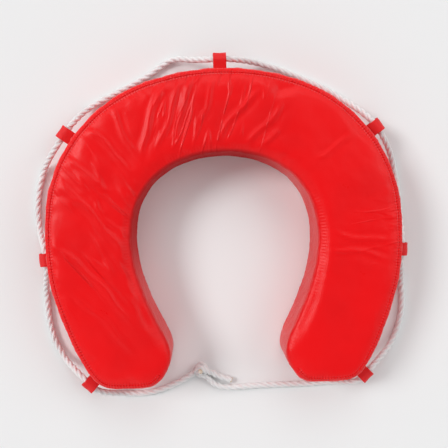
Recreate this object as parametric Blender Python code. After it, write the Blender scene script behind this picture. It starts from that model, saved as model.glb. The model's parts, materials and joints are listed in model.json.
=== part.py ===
"""Horseshoe lifebuoy lying on its back panel: a laminated foam core in a zipped sewn cover,
with seven strap loops that carry a grab rope round the outside.

The opening's mouth faces -Y, the crown faces +Y and the front panel faces +Z.
The origin is on the ground, under the middle of the buoy with its loops.
Sizes are in millimetres and degrees; the meshes are in metres.
"""
import bpy
import bmesh
from math import acos, cos, degrees, pi, radians, sin
from mathutils import Vector
from mathutils.geometry import interpolate_bezier

MM = 0.001

# Overall sizes of the buoy; heights along Y are measured from its widest line.
BODY_WIDTH = 600.0
CROWN_RISE = 269.0
LEG_DROP = 262.0
THICKNESS = 100.0
OPENING_WIDTH = 309.0
OPENING_RISE = 128.0
OPENING_WIDEST_DROP = 13.0
MOUTH_WIDTH = 190.0
MOUTH_DROP = 210.0

# The crown is a true arc in its middle, and curves lead on from it.
CROWN_RADIUS = 395.0
CROWN_HALF_ARC = 20.0
FLANK_INSET = 19.0
FLANK_DROP = 132.0
FLANK_SLOPE = 18.0
HEEL_INSET = 98.0
TIP_ROUND = 36.0

# Handle lengths of each curve, as shares of the straight line between its ends.
SHOULDER_HANDLES = (0.20, 0.52)
FLANK_HANDLES = (0.55, 0.26)
HEEL_HANDLES = (0.40, 0.19)
TIP_HANDLES = (0.24, 0.23)
LEG_HANDLES = (0.18, 0.46)
OPENING_HANDLES = (0.46, 0.39)
CROWN_STEPS = 5
SHOULDER_STEPS = 7
FLANK_STEPS = 3
HEEL_STEPS = 6
TIP_STEPS = 4
LEG_STEPS = 7
OPENING_STEPS = 7

# Cover and foam core.
SHEET = 1.2
EDGE_ROUND = 10.0
EDGE_STEPS = 2
GAP = 0.3
FOAM_LAYERS = ("foam_back", "foam_middle", "foam_front")

# Strap loops: name, direction of the outline's outward normal, reach and eye radius.
STRAP_WIDTH = 22.5
STRAP = 1.5
ROPE = 11.0
EYE_RADIUS = 9.0
TIGHT_EYE_RADIUS = 8.0
LOOP_REACH = 33.0
TIGHT_REACH = 21.0
LOOPS = (
    ("loop_top", 90.0, LOOP_REACH, EYE_RADIUS),
    ("loop_upper_left", 144.0, LOOP_REACH, EYE_RADIUS),
    ("loop_upper_right", 36.0, LOOP_REACH, EYE_RADIUS),
    ("loop_mid_left", 184.0, TIGHT_REACH, TIGHT_EYE_RADIUS),
    ("loop_mid_right", -4.0, TIGHT_REACH, TIGHT_EYE_RADIUS),
    ("loop_lower_left", 226.0, LOOP_REACH, EYE_RADIUS),
    ("loop_lower_right", -46.0, LOOP_REACH, EYE_RADIUS),
)
LOOP_ARC_STEPS = 10
ROOT_SEAM = 2.0
ROOT_GAP = 1.0
PLY_GAP = 0.2

# The zip lies along the crown's arc, between the loops and the ground.
ZIP_HEIGHT = 25.0
ZIP_HALF_ARC = 19.0
SLOT_END = 1.0
TAPE_WIDTH = 14.0
TAPE = 0.8
COIL_WIDTH = 2.6
COIL_HEIGHT = 2.0
STOP_TURN = 18.2
STOP_LENGTH = 3.5
SLIDER_REST_TURN = -16.5
SLIDER_LENGTH = 13.0
METAL = 1.2
RUN_CLEARANCE = 0.5

# The slider's bail and its pull: the cross bar turns under the bail, on an axis along Z.
BAIL_WIDTH = 2.2
BAIL_HEIGHT = 4.2
BAIL_HALF_LENGTH = 5.0
PULL = 1.6
PULL_LENGTH = 24.0
PULL_WIDTH = 6.6
PULL_WINDOW = (4.0, 3.8)
PULL_PIVOT = (2.2, 1.4)

# Routes in metres in the buoy's frame. The rope starts and ends at its knot and threads
# every loop; between the loops it lies on the ground.
ROPE_ROUTE = (
    (-0.0600, -0.2740, 0.0070), (-0.0920, -0.2910, 0.0062), (-0.1420, -0.3070, 0.0062),
    (-0.1900, -0.3060, 0.0080), (-0.2296, -0.2857, 0.0488), (-0.2512, -0.2649, 0.0488),
    (-0.2930, -0.2360, 0.0100), (-0.3130, -0.1950, 0.0062), (-0.3210, -0.1200, 0.0075),
    (-0.3085, -0.0709, 0.0488), (-0.3106, -0.0409, 0.0488), (-0.3280, -0.0050, 0.0110),
    (-0.3310, 0.0400, 0.0062), (-0.3170, 0.1000, 0.0080), (-0.2778, 0.1465, 0.0488),
    (-0.2602, 0.1707, 0.0488), (-0.2340, 0.2070, 0.0110), (-0.1800, 0.2370, 0.0062),
    (-0.1300, 0.2620, 0.0062), (-0.0830, 0.2900, 0.0080), (-0.0450, 0.2850, 0.0280),
    (-0.0150, 0.2802, 0.0488), (0.0150, 0.2802, 0.0488), (0.0700, 0.2800, 0.0140),
    (0.1350, 0.2590, 0.0062), (0.2150, 0.2180, 0.0070), (0.2602, 0.1707, 0.0488),
    (0.2778, 0.1465, 0.0488), (0.3080, 0.1020, 0.0110), (0.3190, 0.0250, 0.0062),
    (0.3106, -0.0409, 0.0488), (0.3085, -0.0709, 0.0488), (0.3220, -0.1170, 0.0080),
    (0.3210, -0.1750, 0.0062), (0.3030, -0.2270, 0.0075), (0.2512, -0.2649, 0.0488),
    (0.2296, -0.2857, 0.0488), (0.1820, -0.3000, 0.0075), (0.0600, -0.3020, 0.0062),
    (-0.0070, -0.3025, 0.0062), (-0.0260, -0.2955, 0.0066), (-0.0357, -0.2846, 0.0075),
)
TAIL_ROUTE = ((-0.0285, -0.2740, 0.0090), (-0.0180, -0.2810, 0.0070), (0.0060, -0.2900, 0.0062))
ROPE_SPACING = 0.030
ROPE_SIDES_RESOLUTION = 2

# The knot, as centres and radii in metres along the turn between the rope's two ends.
KNOT = (
    ((-0.0596, -0.2738, 0.0070), 0.0055),
    ((-0.0578, -0.2729, 0.0070), 0.0060),
    ((-0.0540, -0.2705, 0.0105), 0.0098),
    ((-0.0470, -0.2680, 0.0135), 0.0130),
    ((-0.0420, -0.2730, 0.0125), 0.0120),
    ((-0.0392, -0.2795, 0.0095), 0.0085),
    ((-0.0371, -0.2826, 0.0077), 0.0060),
    ((-0.0360, -0.2841, 0.0076), 0.0055),
)


def curve(start, start_way, end, end_way, handles, steps):
    """Points from start to end, leaving along start_way and arriving along end_way; no first point."""
    span = (end - start).length
    first = start + start_way * handles[0] * span
    second = end - end_way * handles[1] * span
    points = interpolate_bezier(start.to_3d(), first.to_3d(), second.to_3d(), end.to_3d(), steps + 1)
    return [p.to_2d() for p in points[1:]]


def half_outline():
    """The right half of the outline: the crown's top to the leg's tip, and the tip to the opening's top."""
    left, up, down = Vector((-1, 0)), Vector((0, 1)), Vector((0, -1))
    turn = radians(CROWN_HALF_ARC)
    centre = Vector((0, CROWN_RISE - CROWN_RADIUS))
    outer = [
        centre + CROWN_RADIUS * Vector((sin(turn * i / CROWN_STEPS), cos(turn * i / CROWN_STEPS)))
        for i in range(CROWN_STEPS + 1)
    ]
    crown_way = Vector((cos(turn), -sin(turn)))
    widest = Vector((BODY_WIDTH / 2, 0))
    flank = Vector((BODY_WIDTH / 2 - FLANK_INSET, -FLANK_DROP))
    flank_way = Vector((-sin(radians(FLANK_SLOPE)), -cos(radians(FLANK_SLOPE))))
    heel = Vector((BODY_WIDTH / 2 - HEEL_INSET, -LEG_DROP))
    tip = Vector((MOUTH_WIDTH / 2 + TIP_ROUND, -LEG_DROP))
    mouth = Vector((MOUTH_WIDTH / 2, -MOUTH_DROP))
    inside = Vector((OPENING_WIDTH / 2, -OPENING_WIDEST_DROP))
    top = Vector((0, OPENING_RISE))
    outer += curve(outer[-1], crown_way, widest, down, SHOULDER_HANDLES, SHOULDER_STEPS)
    outer += curve(widest, down, flank, flank_way, FLANK_HANDLES, FLANK_STEPS)
    outer += curve(flank, flank_way, heel, left, HEEL_HANDLES, HEEL_STEPS)
    outer.append(tip)
    inner = [tip] + curve(tip, left, mouth, up, TIP_HANDLES, TIP_STEPS)
    inner += curve(mouth, up, inside, up, LEG_HANDLES, LEG_STEPS)
    inner += curve(inside, up, top, left, OPENING_HANDLES, OPENING_STEPS)
    return outer, inner


def mirrored(points):
    """The same points on the other side of the buoy, in reverse order."""
    return [Vector((-p.x, p.y)) for p in reversed(points)]


OUTER_HALF, INNER_HALF = half_outline()
OUTER_PATH = mirrored(OUTER_HALF) + OUTER_HALF[1:]
INNER_PATH = INNER_HALF + mirrored(INNER_HALF)[1:]
OUTLINE = OUTER_PATH + INNER_PATH[1:-1]


def mitres(points, before, after):
    """For each point of a path, the outward way whose length keeps an offset wall parallel."""
    chain = [before] + points + [after]
    ways = []
    for i in range(1, len(chain) - 1):
        a = (chain[i] - chain[i - 1]).normalized()
        b = (chain[i + 1] - chain[i]).normalized()
        way = Vector((-(a + b).y, (a + b).x)).normalized()
        ways.append(way / way.dot(Vector((-a.y, a.x))))
    return ways


OUTLINE_WAYS = mitres(OUTLINE, OUTLINE[-1], OUTLINE[0])
OUTER_WAYS = mitres(OUTER_PATH, INNER_PATH[-2], INNER_PATH[1])
INNER_WAYS = mitres(INNER_PATH, OUTER_PATH[-2], OUTER_PATH[1])


def place(point, z):
    """A point of the outline's plane at height z, in metres in the buoy's frame."""
    return Vector((point.x, point.y + CENTRE_SHIFT, z)) * MM


def material(name, colour, roughness, metallic=0.0):
    made = bpy.data.materials.get(name) or bpy.data.materials.new(name)
    made.use_nodes = True
    shader = made.node_tree.nodes["Principled BSDF"]
    shader.inputs["Base Color"].default_value = (*colour, 1)
    shader.inputs["Roughness"].default_value = roughness
    shader.inputs["Metallic"].default_value = metallic
    return made


def finish(name, bm, look, smooth=True):
    """Turns a bmesh into the named object with its material."""
    bmesh.ops.recalc_face_normals(bm, faces=bm.faces)
    mesh = bpy.data.meshes.new(name)
    bm.to_mesh(mesh)
    bm.free()
    if smooth:
        mesh.shade_smooth()
        mesh.set_sharp_from_angle(angle=radians(35))
    made = bpy.data.objects.new(name, mesh)
    made.data.materials.append(look)
    bpy.context.collection.objects.link(made)
    return made


def bridge(bm, ring_a, ring_b, closed=True):
    """Quads between two rings, or rows, of as many vertices."""
    last = len(ring_a) if closed else len(ring_a) - 1
    for i in range(last):
        j = (i + 1) % len(ring_a)
        bm.faces.new((ring_a[i], ring_a[j], ring_b[j], ring_b[i]))


def slab(name, levels, look):
    """A horseshoe plate from (inset, z) levels, bottom to top."""
    bm = bmesh.new()
    rings = [
        [bm.verts.new(place(p - way * inset, z)) for p, way in zip(OUTLINE, OUTLINE_WAYS)]
        for inset, z in levels
    ]
    for lower, upper in zip(rings, rings[1:]):
        bridge(bm, lower, upper)
    bm.faces.new(rings[0])
    bm.faces.new(rings[-1])
    return finish(name, bm, look)


def swept(name, path, ways, profile, look):
    """A closed (inset, z) profile carried along a path of the outline, with flat ends."""
    bm = bmesh.new()
    rings = [
        [bm.verts.new(place(p - way * inset, z)) for inset, z in profile]
        for p, way in zip(path, ways)
    ]
    for one, following in zip(rings, rings[1:]):
        bridge(bm, one, following)
    bm.faces.new(rings[0])
    bm.faces.new(rings[-1])
    return finish(name, bm, look)


def edge_arc(radius, upper):
    """(inset, z) points of a rounded edge, from the wall to the panel."""
    points = []
    for i in range(EDGE_STEPS + 1):
        angle = pi / 2 * i / EDGE_STEPS
        rise = radius * sin(angle)
        z = THICKNESS - EDGE_ROUND + rise if upper else EDGE_ROUND - rise
        points.append((EDGE_ROUND - radius * cos(angle), z))
    return points


def shortened(path):
    """The path with half the seam gap taken off both ends."""
    start = path[0] + (path[1] - path[0]).normalized() * GAP / 2
    end = path[-1] + (path[-2] - path[-1]).normalized() * GAP / 2
    return [start] + path[1:-1] + [end]


def foam_core(look):
    """Three plates laminated flat on each other, the outer two rounded like the cover's edge."""
    clear = SHEET + GAP
    ply = (THICKNESS - 2 * clear - 2 * GAP) / 3
    radius = EDGE_ROUND - clear
    for i, name in enumerate(FOAM_LAYERS):
        low = clear + i * (ply + GAP)
        levels = [(clear, low), (clear, low + ply)]
        if name == FOAM_LAYERS[0]:
            levels = edge_arc(radius, False)[::-1] + levels[1:]
        if name == FOAM_LAYERS[-1]:
            levels = levels[:1] + edge_arc(radius, True)
        slab(name, levels, look)


def cover_panels(look):
    inset = EDGE_ROUND + GAP
    slab("cover_back", [(inset, 0), (inset, SHEET)], look)
    slab("cover_front", [(inset, THICKNESS - SHEET), (inset, THICKNESS)], look)


def half_band_profile(upper):
    """Half of the outer band, from the middle seam round one edge of the buoy."""
    seam = THICKNESS / 2 + (GAP / 2 if upper else -GAP / 2)
    outside = [(0, seam)] + edge_arc(EDGE_ROUND, upper)
    inside = [(SHEET, seam)] + edge_arc(EDGE_ROUND - SHEET, upper)
    return outside + inside[::-1]


def cover_bands(look):
    outer = shortened(OUTER_PATH)
    for name, upper in (("outer_band_front", True), ("outer_band_back", False)):
        swept(name, outer, OUTER_WAYS, half_band_profile(upper), look)
    outside = edge_arc(EDGE_ROUND, False)[::-1] + edge_arc(EDGE_ROUND, True)
    inner_radius = EDGE_ROUND - SHEET
    inside = edge_arc(inner_radius, False)[::-1] + edge_arc(inner_radius, True)
    swept("inner_band", shortened(INNER_PATH), INNER_WAYS, outside + inside[::-1], look)


def outline_at(direction):
    """The place on the outer path whose outward normal points in a direction, in degrees."""
    wanted = Vector((cos(radians(direction)), sin(radians(direction))))
    side = Vector((-wanted.y, wanted.x))
    ways = [w.normalized() for w in OUTER_WAYS]
    for i in range(len(ways) - 1):
        a, b = ways[i].dot(side), ways[i + 1].dot(side)
        if a * b <= 0 and a != b and ways[i].dot(wanted) > 0:
            return OUTER_PATH[i].lerp(OUTER_PATH[i + 1], a / (a - b)), wanted
    raise ValueError(f"the outline never faces {direction} degrees")


def strap_tip(direction, reach):
    """The lowest or highest Y that a strap loop reaches, before the buoy is centred."""
    base, way = outline_at(direction)
    return (base + way * reach).y + way.y / abs(way.y) * abs(way.x) * STRAP_WIDTH / 2


CENTRE_SHIFT = -(strap_tip(LOOPS[0][1], LOOP_REACH) + strap_tip(LOOPS[-1][1], LOOP_REACH)) / 2


def loop_outline(reach, eye):
    """Outer and inner (reach, rise) points of a folded strap, from its lower root to its upper one."""
    bend = eye + STRAP
    centre = reach - bend
    sweep = pi - acos(bend / (centre - ROOT_GAP))
    arc = [sweep * (2 * i / LOOP_ARC_STEPS - 1) for i in range(LOOP_ARC_STEPS + 1)]
    outer = [(centre + bend * cos(a), bend * sin(a)) for a in arc]
    inner = [(centre + eye * cos(a), eye * sin(a)) for a in arc]
    crotch = ROOT_GAP + ROOT_SEAM
    outer = [(ROOT_GAP, -STRAP)] + outer + [(ROOT_GAP, STRAP)]
    inner = [(crotch, -PLY_GAP)] + inner + [(crotch, PLY_GAP)]
    return outer, inner


def strap_loop(name, direction, reach, eye, look):
    """A strap folded round the rope, its ends caught in the outer band's middle seam."""
    base, way = outline_at(direction)
    along = Vector((-way.y, way.x)) * STRAP_WIDTH / 2
    pivot = place(base, THICKNESS / 2)
    bm = bmesh.new()
    sides = []
    for shift in (-along, along):
        rings = [
            [bm.verts.new(place(base + way * r + shift, THICKNESS / 2 + z) - pivot) for r, z in points]
            for points in loop_outline(reach, eye)
        ]
        bridge(bm, *rings)
        sides.append(rings)
    for one, other in zip(*sides):
        bridge(bm, one, other)
    finish(name, bm, look).location = pivot


def through_points(route, spacing):
    """Points about a spacing apart on a smooth curve through a route's points, none below the ground."""
    points = [Vector(p) for p in route]
    points = [points[0] * 2 - points[1]] + points + [points[-1] * 2 - points[-2]]
    run = []
    for a, b, c, d in zip(points, points[1:], points[2:], points[3:]):
        ta = (b - a).length ** 0.5
        tb = (c - b).length ** 0.5
        tc = (d - c).length ** 0.5
        leave = ((b - a) / ta - (c - a) / (ta + tb) + (c - b) / tb) * tb
        arrive = ((c - b) / tb - (d - b) / (tb + tc) + (d - c) / tc) * tb
        steps = max(1, round((c - b).length / spacing))
        run += interpolate_bezier(b, b + leave / 3, c - arrive / 3, c, steps + 1)[:-1]
    run.append(points[-2])
    rest = (ROPE / 2 + GAP) * MM
    return [Vector((p.x, p.y, max(p.z, rest))) for p in run]


def tube(name, points, radii, look):
    """A round cord through the points, with flat ends."""
    line = bpy.data.curves.new(name, "CURVE")
    line.dimensions = "3D"
    line.bevel_depth = 1.0
    line.bevel_resolution = ROPE_SIDES_RESOLUTION
    line.use_fill_caps = True
    spline = line.splines.new("POLY")
    spline.points.add(len(points) - 1)
    for point, place_at, radius in zip(spline.points, points, radii):
        point.co = (*place_at, 1.0)
        point.radius = radius
    made = bpy.data.objects.new(name, line)
    made.data.materials.append(look)
    bpy.context.collection.objects.link(made)
    return made


def rope_and_knot(look):
    radius = ROPE * MM / 2
    run = through_points(ROPE_ROUTE, ROPE_SPACING)
    tube("grab_rope", run, [radius] * len(run), look)
    tail = through_points(TAIL_ROUTE, ROPE_SPACING / 3)
    tube("rope_tail", tail, [radius] * len(tail), look)
    tube("rope_knot", [p for p, _ in KNOT], [r for _, r in KNOT], look)


def crown_place(turn, out, z):
    """A point by its turn from the crown's top, in degrees, and its distance outside the cover."""
    angle = radians(turn)
    reach = CROWN_RADIUS + out
    point = Vector((reach * sin(angle), CROWN_RISE - CROWN_RADIUS + reach * cos(angle)))
    return place(point, z)


def crown_path(half_arc):
    """The part of the outer path on the crown's arc, cut to a half arc in degrees."""
    first = len(OUTER_HALF) - 1 - CROWN_STEPS
    path = OUTER_PATH[first:first + 2 * CROWN_STEPS + 1]
    ways = OUTER_WAYS[first:first + 2 * CROWN_STEPS + 1]
    cut = (CROWN_HALF_ARC - half_arc) / (CROWN_HALF_ARC / CROWN_STEPS)
    ends = [path[0].lerp(path[1], cut)] + path[1:-1] + [path[-1].lerp(path[-2], cut)]
    end_ways = [ways[0].lerp(ways[1], cut)] + ways[1:-1] + [ways[-1].lerp(ways[-2], cut)]
    return ends, end_ways


def zip_slot():
    """Cuts the slot that the zip closes out of the outer band."""
    path, ways = crown_path(ZIP_HALF_ARC - SLOT_END)
    deep = 2 * SHEET
    profile = [(-deep, -COIL_WIDTH), (deep, -COIL_WIDTH), (deep, COIL_WIDTH), (-deep, COIL_WIDTH)]
    cutter = swept("zip_slot", path, ways, [(r, ZIP_HEIGHT + z) for r, z in profile], None)
    cutter.hide_render = True
    cutter.display_type = "WIRE"
    cut = bpy.data.objects["outer_band_back"].modifiers.new("slot", "BOOLEAN")
    cut.operation = "DIFFERENCE"
    cut.object = cutter


def zip_tapes(look):
    """Two tapes sewn over the slot, each with its coil along its inner edge."""
    path, ways = crown_path(ZIP_HALF_ARC)
    low, high, crest = -GAP, -GAP - TAPE, -GAP - COIL_HEIGHT
    near, bead = GAP / 2, GAP / 2 + COIL_WIDTH
    profile = [(low, near), (crest, near), (crest, bead), (high, bead), (high, TAPE_WIDTH), (low, TAPE_WIDTH)]
    for name, side in (("zip_tape_front", 1), ("zip_tape_back", -1)):
        swept(name, path, ways, [(r, ZIP_HEIGHT + side * z) for r, z in profile], look)


def crown_prism(turn, section, length, pivot=Vector(), start=0.0):
    """A section of (out, rise) points carried along the crown's tangent at a turn, as a bmesh."""
    bm = bmesh.new()
    tangent = Vector((cos(radians(turn)), -sin(radians(turn)), 0)) * MM
    rings = []
    for travel in (start, start + length):
        moved = tangent * travel - pivot
        rings.append([bm.verts.new(crown_place(turn, out, ZIP_HEIGHT + rise) + moved) for out, rise in section])
    bridge(bm, *rings)
    for ring in rings:
        bm.faces.new(ring)
    return bm


def channel(clearance):
    """The section of a metal channel that fits over both coils and opens towards the cover."""
    side = GAP / 2 + COIL_WIDTH + clearance
    foot = GAP + TAPE + clearance
    roof = GAP + COIL_HEIGHT + clearance
    inside = [(foot, -side), (roof, -side), (roof, side), (foot, side)]
    side += METAL
    return inside + [(foot, side), (roof + METAL, side), (roof + METAL, -side), (foot, -side)]


def zip_stops(look):
    for name, side in (("zip_stop_left", -1), ("zip_stop_right", 1)):
        bm = crown_prism(side * STOP_TURN, channel(GAP), STOP_LENGTH, start=-STOP_LENGTH / 2)
        finish(name, bm, look, smooth=False)


def zip_slider(look):
    """The slider's channel with a bail on its back, turning about the crown's centre."""
    pivot = place(Vector((0, CROWN_RISE - CROWN_RADIUS)), ZIP_HEIGHT)
    body = crown_prism(SLIDER_REST_TURN, channel(RUN_CLEARANCE), SLIDER_LENGTH, pivot, -SLIDER_LENGTH / 2)
    slider = finish("zip_slider", body, look, smooth=False)
    slider.location = pivot
    back = slider_back()
    tangent = Vector((cos(radians(SLIDER_REST_TURN)), -sin(radians(SLIDER_REST_TURN)), 0)) * MM
    root = METAL / 2
    leg = 1.4
    arch = [
        (-BAIL_HALF_LENGTH, -root), (-BAIL_HALF_LENGTH, BAIL_HEIGHT - leg),
        (-BAIL_HALF_LENGTH + leg, BAIL_HEIGHT), (BAIL_HALF_LENGTH - leg, BAIL_HEIGHT),
        (BAIL_HALF_LENGTH, BAIL_HEIGHT - leg), (BAIL_HALF_LENGTH, -root),
        (BAIL_HALF_LENGTH - leg, -root), (BAIL_HALF_LENGTH - leg, BAIL_HEIGHT - leg),
        (leg - BAIL_HALF_LENGTH, BAIL_HEIGHT - leg), (leg - BAIL_HALF_LENGTH, -root),
    ]
    bm = bmesh.new()
    rings = []
    for rise in (-BAIL_WIDTH / 2, BAIL_WIDTH / 2):
        rings.append([
            bm.verts.new(crown_place(SLIDER_REST_TURN, back + out, ZIP_HEIGHT + rise) + tangent * u - pivot)
            for u, out in arch
        ])
    bridge(bm, *rings)
    for ring in rings:
        bm.faces.new(ring)
    bail = finish("slider_bail", bm, look, smooth=False)
    bail.location = pivot
    bail.hide_render = True
    bail.display_type = "WIRE"
    join = slider.modifiers.new("bail", "BOOLEAN")
    join.operation = "UNION"
    join.object = bail


def slider_back():
    """How far the slider's flat back stands outside the cover."""
    return GAP + COIL_HEIGHT + RUN_CLEARANCE + METAL


def zip_pull(look):
    """A flat pull with a window that the bail passes through, hinged on its end bar."""
    turn = SLIDER_REST_TURN
    tangent = Vector((cos(radians(turn)), -sin(radians(turn)), 0)) * MM
    ahead, out = PULL_PIVOT
    pivot = crown_place(turn, slider_back() + out, ZIP_HEIGHT) + tangent * ahead
    half_bar = PULL / 2
    half_width = PULL_WIDTH / 2
    window_length, window_width = PULL_WINDOW
    taper = 1.4
    end = PULL_LENGTH - half_bar
    outside = [
        (-half_bar, -half_width), (half_bar + window_length + taper, -half_width),
        (end - taper, -half_width + taper / 2), (end, -half_width + taper), (end, half_width - taper),
        (end - taper, half_width - taper / 2), (half_bar + window_length + taper, half_width),
        (-half_bar, half_width),
    ]
    near, far, side = half_bar, half_bar + window_length, window_width / 2
    inside = [
        (near, -side), (far, -side), (far, -side / 3), (far, -side / 6), (far, side / 6),
        (far, side / 3), (far, side), (near, side),
    ]
    outward = crown_place(turn, 1, 0) - crown_place(turn, 0, 0)
    bm = bmesh.new()
    sides = []
    for lift in (-half_bar, half_bar):
        rings = [
            [bm.verts.new(tangent * u + Vector((0, 0, v * MM)) + outward * lift) for u, v in ring]
            for ring in (outside, inside)
        ]
        bridge(bm, *rings)
        sides.append(rings)
    for one, other in zip(*sides):
        bridge(bm, one, other)
    finish("zip_pull", bm, look, smooth=False).location = pivot


def clear_scene():
    for old in list(bpy.data.objects):
        bpy.data.objects.remove(old, do_unlink=True)


def main():
    clear_scene()
    coated = material("coated_fabric", (0.76, 0.012, 0.015), 0.35)
    foam = material("closed_cell_foam", (0.86, 0.86, 0.82), 0.9)
    rope = material("laid_rope", (0.85, 0.85, 0.83), 0.7)
    tape = material("zip_tape", (0.35, 0.01, 0.012), 0.8)
    metal = material("zip_metal", (0.62, 0.62, 0.6), 0.3, 1.0)
    foam_core(foam)
    cover_panels(coated)
    cover_bands(coated)
    for name, direction, reach, eye in LOOPS:
        strap_loop(name, direction, reach, eye, coated)
    zip_slot()
    zip_tapes(tape)
    zip_stops(metal)
    zip_slider(metal)
    zip_pull(metal)
    rope_and_knot(rope)


main()
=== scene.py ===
import json
import math
from math import cos, pi, radians, sin

import bmesh
import bpy
import numpy as np
from mathutils import Matrix, Vector, noise
from mathutils.bvhtree import BVHTree
from mathutils.kdtree import KDTree


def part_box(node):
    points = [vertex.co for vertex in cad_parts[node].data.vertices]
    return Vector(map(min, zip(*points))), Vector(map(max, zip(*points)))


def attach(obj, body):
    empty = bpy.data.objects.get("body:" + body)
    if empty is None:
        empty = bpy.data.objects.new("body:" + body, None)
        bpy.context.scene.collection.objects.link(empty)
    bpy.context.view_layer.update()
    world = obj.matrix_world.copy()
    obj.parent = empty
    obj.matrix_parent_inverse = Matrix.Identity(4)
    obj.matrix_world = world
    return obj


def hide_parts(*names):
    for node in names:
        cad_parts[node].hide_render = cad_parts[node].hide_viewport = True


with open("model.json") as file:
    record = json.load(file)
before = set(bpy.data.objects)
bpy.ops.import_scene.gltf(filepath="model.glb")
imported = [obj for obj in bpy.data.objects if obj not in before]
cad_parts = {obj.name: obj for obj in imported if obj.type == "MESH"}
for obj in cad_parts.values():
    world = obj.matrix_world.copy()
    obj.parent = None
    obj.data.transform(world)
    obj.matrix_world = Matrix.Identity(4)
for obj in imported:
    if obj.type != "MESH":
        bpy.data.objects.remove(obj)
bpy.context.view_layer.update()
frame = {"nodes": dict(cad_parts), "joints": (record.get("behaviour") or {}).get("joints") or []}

bl_info = {
    "name": "Horseshoe Lifebuoy",
    "version": (1, 0, 0),
    "blender": (4, 5, 0),
    "location": "View3D > Sidebar > Lifebuoy",
    "description": "Makes a soft horseshoe lifebuoy with its grab rope, loops and zip",
    "category": "Object",
}

JOINTS = {joint["name"]: joint for joint in frame["joints"]}
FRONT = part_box("cover_front")[1].z
MIDDLE = FRONT / 2

# the front panel's cut edge and its seam, inside the cover's outline
PANEL_INSET = 0.0103
SEAM_INSET = 0.0095

# stitches: their pitch along a seam, how far their rows stand from it, and the size and lift of each
STITCH_PITCH = 0.0046
STITCH_RADIUS = 0.00038
STITCH_LENGTH = 0.0030
STITCH_LIFT = 0.00015
PANEL_STITCH_ROW = 0.0032
SIDE_STITCH_ROW = 0.0036
STRAP_STITCH_ROWS = (0.0032, 0.0062)

# the welts' radii, and how far their middles stand off the cloth
PANEL_WELT = 0.0012
PANEL_WELT_LIFT = 0.0003
SIDE_WELT = 0.0011
SIDE_WELT_LIFT = 0.0002

# pitches of the weaves in the cover's cloth, the straps and the zip's tapes
CLOTH_WEAVE = 0.0011
STRAP_RIB = 0.0016
STRAP_PICK = 0.0018
TAPE_WEFT = 0.0009
TAPE_WARP = 0.0008

# how far a strap's edges curl, and how far it sways from straight
STRAP_CURL = 0.00035
STRAP_SWAY = 0.0006

ROPE_THICK = 0.011
ROPE_FLOOR_GAP = 0.0003
KNOT_RADIUS = 0.0052
KNOT_END_RADIUS = 0.0050
KNOT_SIDES = 18
TAIL_SEAL_RADIUS = 0.0050
END_SEAL_RADIUS = 0.0046

# the foam's gap to the cover at its sides, and at the faces that the cover presses on
FOAM_INSET = 0.008
FOAM_FACE_GAP = 0.0045
FOAM_LAYER_GAP = 0.0002
FOAM_ROUNDING = 0.008

COVER_ROUNDING = 0.009
FILL_FRAMES = 20

# the most that the walls of the cover may swell, sink and slide when it is filled
WALL_SWELL = 0.0006
MOST_SINK = 0.0005
MOST_SLIDE = 0.0012

# how far the settled cover stays inside its outline and above the floor
WALL_GAP = 0.0004

# pitch and height of the long and the short folds in the walls
LONG_FOLDS = (0.052, 0.0007)
SHORT_FOLDS = (0.021, 0.0003)

# how far outside the cover a line starts before it is laid on it
CLEAR_ABOVE = 0.05
CLEAR_BESIDE = 0.03

# the zip's tapes and teeth, and how far each part stands off the zip's curve
TAPE_INNER_EDGE = 0.0003
TAPE_WIDTH = 0.0136
TAPE_OUT = 0.0007
TAPE_RIPPLE = 0.00012
TAPE_STITCH_OUT = 0.00115
TOOTH_SIZE = (0.0009, 0.0029, 0.0011)
TOOTH_OUT = 0.0016
TOOTH_RISE = 0.0012
TAPE_STITCH_PITCH = 0.0034
TAPE_STITCH_ROWS = (0.0072, 0.0118)

CAMERA_PLACE = Vector((-0.0316, 0.0325, 1.0654))
CAMERA_LOOK = Vector((0.0307, -0.0353, -1))
CAMERA_ROLL = 0.0285

ROPE_ROUTE = (
    (-0.06, -0.274, 0.007), (-0.092, -0.291, 0.0062), (-0.142, -0.307, 0.0062), (-0.19, -0.306, 0.008),
    (-0.2296, -0.2857, 0.0488), (-0.2512, -0.2649, 0.0488), (-0.293, -0.236, 0.01), (-0.313, -0.195, 0.0062),
    (-0.321, -0.12, 0.0075), (-0.3085, -0.0709, 0.0488), (-0.3106, -0.0409, 0.0488), (-0.328, -0.005, 0.011),
    (-0.331, 0.04, 0.0062), (-0.317, 0.1, 0.008), (-0.2778, 0.1465, 0.0488), (-0.2602, 0.1707, 0.0488),
    (-0.234, 0.207, 0.011), (-0.18, 0.237, 0.0062), (-0.13, 0.262, 0.0062), (-0.083, 0.29, 0.008),
    (-0.045, 0.285, 0.028), (-0.015, 0.2802, 0.0488), (0.015, 0.2802, 0.0488), (0.07, 0.28, 0.014),
    (0.135, 0.259, 0.0062), (0.215, 0.218, 0.007), (0.2602, 0.1707, 0.0488), (0.2778, 0.1465, 0.0488),
    (0.308, 0.102, 0.011), (0.319, 0.025, 0.0062), (0.3106, -0.0409, 0.0488), (0.3085, -0.0709, 0.0488),
    (0.322, -0.117, 0.008), (0.321, -0.175, 0.0062), (0.303, -0.227, 0.0075), (0.2512, -0.2649, 0.0488),
    (0.2296, -0.2857, 0.0488), (0.182, -0.3, 0.0075), (0.06, -0.302, 0.0062), (-0.007, -0.3025, 0.0062),
    (-0.026, -0.2955, 0.0066), (-0.0357, -0.2846, 0.0075),
)
TAIL_ROUTE = ((-0.0285, -0.274, 0.009), (-0.018, -0.281, 0.007), (0.006, -0.29, 0.0062))

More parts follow.
